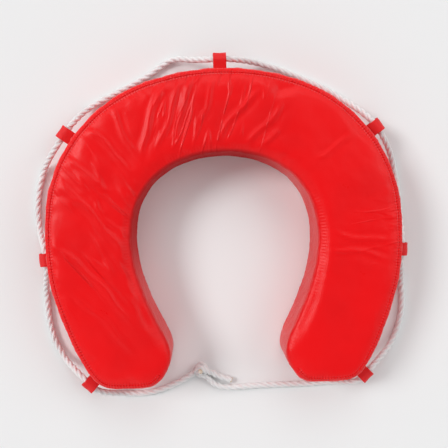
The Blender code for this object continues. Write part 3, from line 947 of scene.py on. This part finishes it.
def copies(name, mesh, frames, look, body="buoy"):
    """One piece made of a copy of a mesh at each frame."""
    source = coordinates(mesh)
    faces = [tuple(p.vertices) for p in mesh.polygons]
    points, polygons = [], []
    for matrix in frames:
        base = len(points)
        rows = np.array(matrix)
        points.extend(map(tuple, source @ rows[:3, :3].T + rows[:3, 3]))
        polygons.extend(tuple(base + i for i in face) for face in faces)
    made = bpy.data.meshes.new(name)
    made.from_pydata(points, [], polygons)
    made.validate()
    for polygon in made.polygons:
        polygon.use_smooth = True
    return piece(name, made, look, body)


def facing(point, along, up):
    """A frame at a point, its X along a line and its Z as near up as it can be."""
    along = along.normalized()
    side = up.cross(along).normalized()
    up = along.cross(side)
    return Matrix((
        (along.x, side.x, up.x, point.x), (along.y, side.y, up.y, point.y),
        (along.z, side.z, up.z, point.z), (0, 0, 0, 1)))


class Surface:
    """The finished cover, which seams and stitches are laid on."""

    def __init__(self, obj):
        mesh = obj.data
        self.tree = BVHTree.FromPolygons(
            [v.co.copy() for v in mesh.vertices], [tuple(p.vertices) for p in mesh.polygons])

    def hit(self, start, way):
        place, normal, index, gap = self.tree.ray_cast(Vector(start), Vector(way))
        return (place, normal) if place else (None, None)

    def drop(self, line, upwards=False):
        """Each point of a line moved straight onto the front, or the back, with its normal."""
        height, way = (-CLEAR_ABOVE, 1) if upwards else (FRONT + CLEAR_ABOVE, -1)
        found = [self.hit((p.x, p.y, height), (0, 0, way)) for p in line]
        return [(place, normal) for place, normal in found if place]

    def press(self, z):
        """A line round the outside of the wall at a height, with its normals."""
        found = []
        for point, way in zip(EDGE.points[EDGE.outer_part], EDGE.ways[EDGE.outer_part]):
            found.append(self.hit((*(point + way * CLEAR_BESIDE), z), (-way.x, -way.y, 0)))
        return [(place, normal) for place, normal in found if place]


def strap_line(reach, eye, gap=0.0013, steps=26, leg=7):
    """The middle of a folded strap in (reach, rise), from its lower root round the rope to its upper one."""
    thick = bpy.context.scene.lifebuoy_strap.thickness
    middle = eye + thick / 2
    centre = reach - eye - thick
    sweep = pi - math.acos(middle / (centre - gap))
    arc = [sweep * (2 * i / steps - 1) for i in range(steps + 1)]
    line = [(centre + middle * cos(a), middle * sin(a)) for a in arc]
    root = Vector((gap, -thick / 2 - 0.0001))
    low = [tuple(root.lerp(Vector(line[0]), k / leg)) for k in range(leg)]
    high = [(r, -z) for r, z in reversed(low)]
    return low + line + high


# ---------------------------------------------------------------- operators

class LIFEBUOY_OT_stage(bpy.types.Operator):
    """Adds the camera, the pale floor and the soft lights"""
    bl_idname = "lifebuoy.stage"
    bl_label = "Stage"

    def execute(self, context):
        stage = context.scene.lifebuoy_stage
        context.scene.view_settings.view_transform = "Standard"
        camera = bpy.data.cameras.new("camera")
        camera.lens = stage.lens
        camera.sensor_width = 36
        camera.clip_end = 100
        camera.dof.use_dof = False
        view = bpy.data.objects.new("camera", camera)
        context.scene.collection.objects.link(view)
        look = CAMERA_LOOK.normalized()
        head = Vector((sin(CAMERA_ROLL), cos(CAMERA_ROLL), 0))
        right = look.cross(head).normalized()
        turn = Matrix((right, right.cross(look), -look)).transposed()
        view.matrix_world = Matrix.Translation(CAMERA_PLACE) @ turn.to_4x4()
        context.scene.camera = view

        deselect()
        bpy.ops.mesh.primitive_circle_add(vertices=96, radius=30, fill_type="NGON", location=(0, 0, -0.0004))
        floor = context.object
        bpy.ops.object.transform_apply(location=True, rotation=True, scale=True)
        floor.name = "floor"
        floor.data.materials.append(pale_floor())

        for name, place, spread, strength in (
            ("key", (-2.1, 0.8, 2.1), 20, stage.key),
            ("fill_right", (2.2, 0.8, 2.2), 36, stage.fill),
            ("fill_crown", (0.2, 2.3, 2.2), 36, stage.fill),
            ("fill_mouth", (-0.8, -2.2, 2.2), 36, stage.fill * 0.4),
        ):
            light = bpy.data.lights.new(name, "SUN")
            light.angle = radians(spread)
            light.energy = strength
            lamp = bpy.data.objects.new(name, light)
            context.scene.collection.objects.link(lamp)
            lamp.matrix_world = (
                Matrix.Translation(place) @ Vector(place).to_track_quat("Z", "Y").to_matrix().to_4x4())

        world = bpy.data.worlds.new("studio")
        world.use_nodes = True
        context.scene.world = world
        sky = Nodes(world.node_tree)
        height = sky.parts(sky.node("ShaderNodeTexCoord", output="Generated"))[2]
        stops = ((0.10, (0.76, 0.76, 0.76, 1)), (0.70, (0.32, 0.32, 0.325, 1)))
        shade = sky.node("ShaderNodeValToRGB", {"stops": stops}, {0: height})
        sky.tree.links.new(shade.socket, sky.tree.nodes["Background"].inputs["Color"])
        return {"FINISHED"}


class LIFEBUOY_OT_rope(bpy.types.Operator):
    """Lays the grab rope through the loops and ties its knot"""
    bl_idname = "lifebuoy.rope"
    bl_label = "Grab rope"

    def execute(self, context):
        rest = ROPE_THICK / 2 + ROPE_FLOOR_GAP
        route = [Vector((p.x, p.y, max(p.z, rest))) for p in even(spline(ROPE_ROUTE, 0.002), 0.0025)]
        rope = strand_tube("grab_rope_laid", route, laid_rope())
        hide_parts("grab_rope")

        tail_line = self.line(TAIL_ROUTE)
        tail = strand_tube("rope_tail_laid", tail_line, laid_rope(), start_turn=1.0)
        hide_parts("rope_tail")

        knot = strand_tube("rope_knot_tied", self.line(KNOT_ROUTE), laid_rope(), KNOT_RADIUS, KNOT_SIDES)
        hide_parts("rope_knot")
        core_line = self.line(KNOT_END_ROUTE)
        core = strand_tube("rope_knot_core", core_line, laid_rope(), KNOT_END_RADIUS, KNOT_SIDES)

        caps = [
            self.seal("rope_tail_seal", tail_line, TAIL_SEAL_RADIUS),
            self.seal("rope_end_seal", core_line, END_SEAL_RADIUS),
        ]
        return {"FINISHED"}

    def line(self, route):
        """Close, even points along the route of a short end."""
        return even(spline(route, 0.001), 0.0015)

    def seal(self, name, line, radius):
        """The last end of a rope's line melted into a low, uneven button."""
        deselect()
        bpy.ops.mesh.primitive_uv_sphere_add(segments=24, ring_count=12, radius=1, location=(0, 0, 0))
        obj = bpy.context.object
        obj.name = name
        turn = (line[-1] - line[-2]).to_track_quat("Z", "Y").to_matrix()
        for vertex in obj.data.vertices:
            co = vertex.co.copy()
            swell = 1 + 0.10 * noise.noise(co * 1.7 + Vector((radius * 900, 0, 0)))
            local = Vector((co.x * radius * swell, co.y * radius * swell, co.z * radius * 0.42))
            vertex.co = line[-1] + turn @ local
        for face in obj.data.polygons:
            face.use_smooth = True
        obj.data.materials.append(laid_rope(sealed=True))
        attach(obj, "buoy")
        return obj


class LIFEBUOY_OT_foam(bpy.types.Operator):
    """Makes the three foam slabs inside the cover"""
    bl_idname = "lifebuoy.foam"
    bl_label = "Foam"

    def execute(self, context):
        look = cell_foam()
        for node in ("foam_back", "foam_middle", "foam_front"):
            low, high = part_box(node)
            bottom = low.z + (FOAM_FACE_GAP if low.z < 0.01 else FOAM_LAYER_GAP)
            top = high.z - (FOAM_FACE_GAP if high.z > FRONT - 0.01 else FOAM_LAYER_GAP)
            shares = ((1, 0), (0.3, 0.3), (0, 1))
            corner = [(FOAM_ROUNDING * out, FOAM_ROUNDING * rise) for out, rise in shares]
            levels = [(out, bottom + rise) for out, rise in corner]
            levels += [(out, top - rise) for out, rise in reversed(corner)]
            bm = bmesh.new()
            rings = [[bm.verts.new(p) for p in EDGE.moved(-FOAM_INSET - out, z)[::2]] for out, z in levels]
            for one, other in zip(rings, rings[1:]):
                bridge(bm, one, other)
            bm.faces.new(rings[0])
            bm.faces.new(rings[-1])
            slab = piece(f"{node}_slab", mesh_of(bm, f"{node}_slab", smooth=False), look)
            smooth_by_angle(slab, 50)
            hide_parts(node)
        return {"FINISHED"}


class LIFEBUOY_OT_cover(bpy.types.Operator):
    """Makes the filled and creased cover"""
    bl_idname = "lifebuoy.cover"
    bl_label = "Cover"

    def execute(self, context):
        cover = context.scene.lifebuoy_cover
        mesh = cover_start(cover.slack, COVER_ROUNDING)
        skin = piece("cover_skin", mesh, coated_fabric())
        remesh = skin.modifiers.new("remesh", "REMESH")
        remesh.mode = "VOXEL"
        remesh.voxel_size = cover.voxel
        relax = skin.modifiers.new("relax", "SMOOTH")
        relax.iterations = 1
        apply_all(skin)

        self.fill(skin, cover)
        finer = skin.modifiers.new("finer", "SUBSURF")
        finer.levels = finer.render_levels = 1
        apply_all(skin)
        self.settle(skin, cover)
        mark_seams(skin.data)
        for face in skin.data.polygons:
            face.use_smooth = True
        skin.data.update()
        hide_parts("cover_front", "cover_back", "outer_band_front", "outer_band_back", "inner_band")
        return {"FINISHED"}

    def fill(self, skin, cover):
        """Fills the cover, and lets the panels swell more than the walls."""
        start = coordinates(skin.data)
        normals = vertex_normals(skin.data)
        moved = fill_with_air(skin, cover.pressure) - start
        swell = (moved * normals).sum(axis=1)
        slide = moved - swell[:, None] * normals
        flat = ease((np.abs(normals[:, 2]) - 0.85) / 0.14)
        most = WALL_SWELL + (cover.crown - WALL_SWELL) * flat
        swell = np.where(swell > 0, most * np.tanh(swell / most), MOST_SINK * np.tanh(swell / MOST_SINK))
        drift = np.linalg.norm(slide, axis=1)
        slide *= (MOST_SLIDE * np.tanh(drift / MOST_SLIDE) / np.maximum(drift, 1e-9))[:, None]
        skin.data.vertices.foreach_set("co", (start + swell[:, None] * normals + slide).ravel())
        skin.data.update()

    def settle(self, skin, cover):
        """Seats the walls on the sewn outline, then lays creases in the front and folds in the walls."""
        points = coordinates(skin.data)
        normals = vertex_normals(skin.data)
        near = [EDGE.near(p[0], p[1]) for p in points]
        run = np.array([n[0] for n in near])
        away = np.array([n[1] for n in near])
        ways = np.array([EDGE.ways[n[2]] for n in near])
        upright = np.abs(normals[:, 2]) < 0.15
        gap = -WALL_GAP - np.median(away[upright])
        seat = gap * ease((away + 0.030) / 0.020)
        seat += np.where(upright, (-WALL_GAP - gap - away) * 0.8, 0)
        points[:, :2] += ways * seat[:, None]
        away = away + seat
        front = ease((normals[:, 2] - 0.3) / 0.5) * ease((points[:, 2] - MIDDLE) / 0.02)
        back = ease((-normals[:, 2] - 0.3) / 0.5)
        wall = 1 - np.clip(np.abs(normals[:, 2]) * 1.4, 0, 1)
        inside = ease((-away - 0.006) / 0.016)
        slow = wobble(points, 16, 1)
        quick = wobble(points, 46, 2)
        lift = front * (inside * crease_depths(points[:, 0], points[:, 1]) * cover.crease
                        + 0.0012 * slow + 0.0005 * quick)
        lift -= back * (0.0008 * slow)
        points[:, 2] += lift
        slant = run + (points[:, 2] - MIDDLE) * 0.55
        outside = (run >= EDGE.outer[0]) & (run <= EDGE.outer[1])
        folds = self.waves(slant, 3 * slow, *LONG_FOLDS)
        folds += self.waves(slant, 4 * quick, *SHORT_FOLDS)
        folds *= np.where(outside, 1.0, 0.4)
        push = wall * np.minimum(folds - 0.0006 + 0.0008 * slow, -away)
        points[:, :2] += ways * push[:, None]
        points[:, 2] = np.maximum(points[:, 2], WALL_GAP)
        skin.data.vertices.foreach_set("co", points.ravel())

    def waves(self, run, stray, pitch, height):
        """Waves along a run, each point ahead or behind by how far it strays."""
        return np.sin(run * 2 * pi / pitch + stray) * height


class LIFEBUOY_OT_seams(bpy.types.Operator):
    """Lays the welts and the stitches on the cover"""
    bl_idname = "lifebuoy.seams"
    bl_label = "Seams"

    def execute(self, context):
        surface = Surface(bpy.data.objects["cover_skin"])
        look, sewn = coated_fabric(), thread()
        stitch = one_stitch()
        for name, upwards in (("front", False), ("back", True)):
            lift = Vector((0, 0, -PANEL_WELT_LIFT if upwards else PANEL_WELT_LIFT))
            seam = EDGE.moved(-SEAM_INSET, 0)[EDGE.outer_part]
            found = surface.drop(seam, upwards)
            line = [place + lift for place, normal in found]
            welt = bead_line(f"welt_{name}", line, [normal for place, normal in found], PANEL_WELT, look)
            mark_seams(welt.data)
            row = EDGE.moved(-SEAM_INSET - PANEL_STITCH_ROW, 0)[EDGE.outer_part]
            spots = surface.drop(even(row, STITCH_PITCH), upwards)
            frames = []
            for (start, normal), (end, other) in zip(spots, spots[1:]):
                frames.append(facing(start.lerp(end, 0.5) + normal * STITCH_LIFT, end - start, normal))
            copies(f"stitches_{name}", stitch, frames, sewn)

        found = surface.press(MIDDLE)
        line = [place + normal * SIDE_WELT_LIFT for place, normal in found]
        welt = bead_line("welt_side", line, [normal for place, normal in found], SIDE_WELT, look)
        mark_seams(welt.data)
        frames = []
        for rise in (-SIDE_STITCH_ROW, SIDE_STITCH_ROW):
            row = even([point + Vector((0, 0, rise)) for point in line], STITCH_PITCH)
            for start, end in zip(row, row[1:]):
                middle = start.lerp(end, 0.5)
                way = EDGE.ways[EDGE.near(middle.x, middle.y)[2]]
                clear = middle + Vector((*way, 0)) * CLEAR_BESIDE
                place, normal = surface.hit(clear, (-way.x, -way.y, 0))
                if place:
                    frames.append(facing(place + normal * STITCH_LIFT, end - start, normal))
        copies("stitches_side", stitch, frames, sewn)
        return {"FINISHED"}


class LIFEBUOY_OT_loops(bpy.types.Operator):
    """Makes the seven strap loops that hold the rope"""
    bl_idname = "lifebuoy.loops"
    bl_label = "Loops"

    def execute(self, context):
        strap = context.scene.lifebuoy_strap
        look, sewn = webbing(), thread()
        stitch = one_stitch()
        columns = 9
        for number, (node, direction, reach, eye) in enumerate(LOOPS):
            joint = JOINTS[f"{node}_flop"]
            base = Vector(joint["pos_m"][:2])
            way = Vector((cos(radians(direction)), sin(radians(direction))))
            along = Vector((-way.y, way.x))
            line = strap_line(reach, eye)
            rows = []
            run = 0.0
            bm = bmesh.new()
            layer = bm.loops.layers.uv.new("weave")
            for k, (r, z) in enumerate(line):
                if k:
                    run += math.dist(line[k - 1], line[k])
                far = min(1.0, max(0.0, (r - 0.004) / (reach - 0.008)))
                cells = []
                for c in range(columns):
                    side = (c / (columns - 1) - 0.5) * strap.width
                    curl = STRAP_CURL * far * cos(2 * pi * c / (columns - 1) + number)
                    sway = STRAP_SWAY * far * noise.noise(Vector((number * 3.1, r * 60, z * 60)))
                    place = base + way * (r + curl) + along * (side + sway)
                    cells.append(bm.verts.new((place.x, place.y, MIDDLE + z)))
                rows.append((cells, run))
            for (one, u), (other, v) in zip(rows, rows[1:]):
                for c in range(columns - 1):
                    face = bm.faces.new((one[c], one[c + 1], other[c + 1], other[c]))
                    for corner, side, far in zip(face.loops, (c, c + 1, c + 1, c), (u, u, v, v)):
                        corner[layer].uv = ((side / (columns - 1) - 0.5) * strap.width, far)
            made = piece(f"{node}_strap", mesh_of(bm, f"{node}_strap", outward=False), look, node)
            wall = made.modifiers.new("thickness", "SOLIDIFY")
            wall.thickness = strap.thickness * 0.96
            wall.offset = 0
            edge = made.modifiers.new("edge", "BEVEL")
            edge.width = 0.0003
            edge.segments = 2
            edge.limit_method = "ANGLE"
            edge.angle_limit = radians(55)
            apply_all(made)
            smooth_by_angle(made, 40)
            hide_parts(node)
            self.bartack(node, base, way, along, line, stitch, sewn)
        return {"FINISHED"}

    def bartack(self, node, base, way, along, line, stitch, look):
        """Two rows of stitches through both plies near the seam."""
        strap = bpy.context.scene.lifebuoy_strap
        frames = []
        for r in STRAP_STITCH_ROWS:
            k = next(i for i in range(len(line) - 1) if line[i][0] <= r <= line[i + 1][0])
            step = Vector(line[k + 1]) - Vector(line[k])
            z = line[k][1] + step.y * (r - line[k][0]) / step.x
            slope = Vector((*(way * step.x), step.y)).normalized()
            for side in (-1, 1):
                tilt = Vector((slope.x, slope.y, -side * slope.z))
                run = Vector((*along, 0))
                up = tilt.cross(run)
                if up.z * side < 0:
                    up = -up
                height = MIDDLE - side * z
                for c in range(5):
                    place = base + way * r + along * (c - 2) * strap.width * 0.2
                    place = Vector((*place, height)) + up * (strap.thickness / 2 + 0.0001)
                    frames.append(facing(place, run, up))
        made = copies(f"{node}_stitches", stitch, frames, look, node)


class LIFEBUOY_OT_zip(bpy.types.Operator):
    """Makes the zip's tapes and coils, and finishes its metal parts"""
    bl_idname = "lifebuoy.zip"
    bl_label = "Zip"

    def execute(self, context):
        settings = context.scene.lifebuoy_zip
        slide = JOINTS["zip_slide"]
        pivot = Vector(slide["pos_m"])
        radius = max(v.co.y for v in frame["nodes"]["outer_band_back"].data.vertices) - pivot.y
        low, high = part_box("zip_tape_front")
        half = math.asin(high.x / (radius + 0.001))
        arc = (pivot, radius)
        cloth, coil, metal, sewn = zip_cloth(), zip_coil(), zip_plating(), thread()
        tooth = self.tooth()
        stitch = one_stitch()
        for name, side in (("front", 1), ("back", -1)):
            woven = self.tape(f"zip_tape_{name}_woven", arc, half, side)
            tape = piece(f"zip_tape_{name}_woven", woven, cloth)
            wall = tape.modifiers.new("thickness", "SOLIDIFY")
            wall.thickness = 0.0006
            wall.offset = 0
            apply_all(tape)
            smooth_by_angle(tape, 40)
            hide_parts(f"zip_tape_{name}")

            # the teeth of one side stand half a pitch along from the other side's
            first = 0.25 if side > 0 else 0.75
            count = int(2 * half * radius / settings.pitch)
            turns = [(k + first) * settings.pitch / radius - half for k in range(count)]
            turns = [turn for turn in turns if abs(turn) <= half - 0.004]
            frames = [self.frame(arc, turn, TOOTH_OUT, side * TOOTH_RISE) for turn in turns]
            copies(f"zip_coil_{name}", tooth, frames, coil)

            count = int(2 * half * radius / TAPE_STITCH_PITCH)
            turns = [(k + 0.5) * TAPE_STITCH_PITCH / radius - half for k in range(count)]
            frames = [
                self.frame(arc, turn, TAPE_STITCH_OUT, side * rise)
                for turn in turns for rise in TAPE_STITCH_ROWS]
            copies(f"zip_stitches_{name}", stitch, frames, sewn)

        for node in ("zip_stop_left", "zip_stop_right", "zip_slider", "zip_pull"):
            obj = frame["nodes"][node]
            for slot in obj.material_slots:
                slot.material = metal
        return {"FINISHED"}

    def spot(self, arc, turn, out, rise):
        """A point on the zip's curve, outside it and above its middle."""
        pivot, radius = arc
        reach = radius + out
        return Vector((pivot.x + reach * sin(turn), pivot.y + reach * cos(turn), pivot.z + rise))

    def frame(self, arc, turn, out, rise):
        """A frame on the zip's curve, its X along the zip and its Z outwards."""
        along = Vector((cos(turn), -sin(turn), 0))
        return facing(self.spot(arc, turn, out, rise), along, Vector((sin(turn), cos(turn), 0)))

    def tape(self, name, arc, half, side, steps=90, columns=10):
        """One tape's sheet, slightly rippled away from the coil."""
        bm = bmesh.new()
        rows = []
        for k in range(steps + 1):
            turn = half * (2 * k / steps - 1)
            cells = []
            for c in range(columns + 1):
                rise = TAPE_INNER_EDGE + TAPE_WIDTH * c / columns
                ripple = TAPE_RIPPLE * sin(k * 0.9 + c) * c / columns
                cells.append(bm.verts.new(self.spot(arc, turn, TAPE_OUT + ripple, side * rise)))
            rows.append(cells)
        for one, other in zip(rows, rows[1:]):
            for c in range(columns):
                bm.faces.new((one[c], one[c + 1], other[c + 1], other[c]))
        return mesh_of(bm, name)

    def tooth(self):
        """One turn of the coil: a bar with rounded edges."""
        deselect()
        bpy.ops.mesh.primitive_cube_add(size=1, location=(0, 0, 0))
        obj = bpy.context.object
        bpy.ops.object.mode_set(mode="EDIT")
        bpy.ops.mesh.select_all(action="SELECT")
        bpy.ops.transform.resize(value=TOOTH_SIZE)
        bpy.ops.mesh.bevel(offset=0.00028, segments=1)
        bpy.ops.object.mode_set(mode="OBJECT")
        mesh = obj.data
        bpy.data.objects.remove(obj)
        return mesh


STEPS = (
    LIFEBUOY_OT_stage, LIFEBUOY_OT_rope, LIFEBUOY_OT_foam, LIFEBUOY_OT_cover, LIFEBUOY_OT_seams,
    LIFEBUOY_OT_loops, LIFEBUOY_OT_zip,
)
SETTINGS = {
    "lifebuoy_cover": CoverSettings, "lifebuoy_rope": RopeSettings, "lifebuoy_strap": StrapSettings,
    "lifebuoy_zip": ZipSettings, "lifebuoy_stage": StageSettings,
}


class LIFEBUOY_PT_pieces(bpy.types.Panel):
    """Lists the lifebuoy's sizes, colours and pieces"""
    bl_idname = "LIFEBUOY_PT_pieces"
    bl_label = "Horseshoe Lifebuoy"
    bl_space_type = "VIEW_3D"
    bl_region_type = "UI"
    bl_category = "Lifebuoy"

    def draw(self, context):
        for name, group in SETTINGS.items():
            box = self.layout.box()
            for setting in group.__annotations__:
                box.prop(getattr(context.scene, name), setting)
        for step in STEPS:
            self.layout.operator(step.bl_idname)


def register():
    for group in SETTINGS.values():
        bpy.utils.register_class(group)
    for step in (*STEPS, LIFEBUOY_PT_pieces):
        bpy.utils.register_class(step)
    for name, group in SETTINGS.items():
        setattr(bpy.types.Scene, name, bpy.props.PointerProperty(type=group))


def unregister():
    for name in SETTINGS:
        delattr(bpy.types.Scene, name)
    for step in (LIFEBUOY_PT_pieces, *reversed(STEPS)):
        bpy.utils.unregister_class(step)
    for group in reversed(list(SETTINGS.values())):
        bpy.utils.unregister_class(group)


def main():
    register()
    for step in STEPS:
        group, name = step.bl_idname.split(".")
        getattr(getattr(bpy.ops, group), name)()


if __name__ == "__main__":
    main()
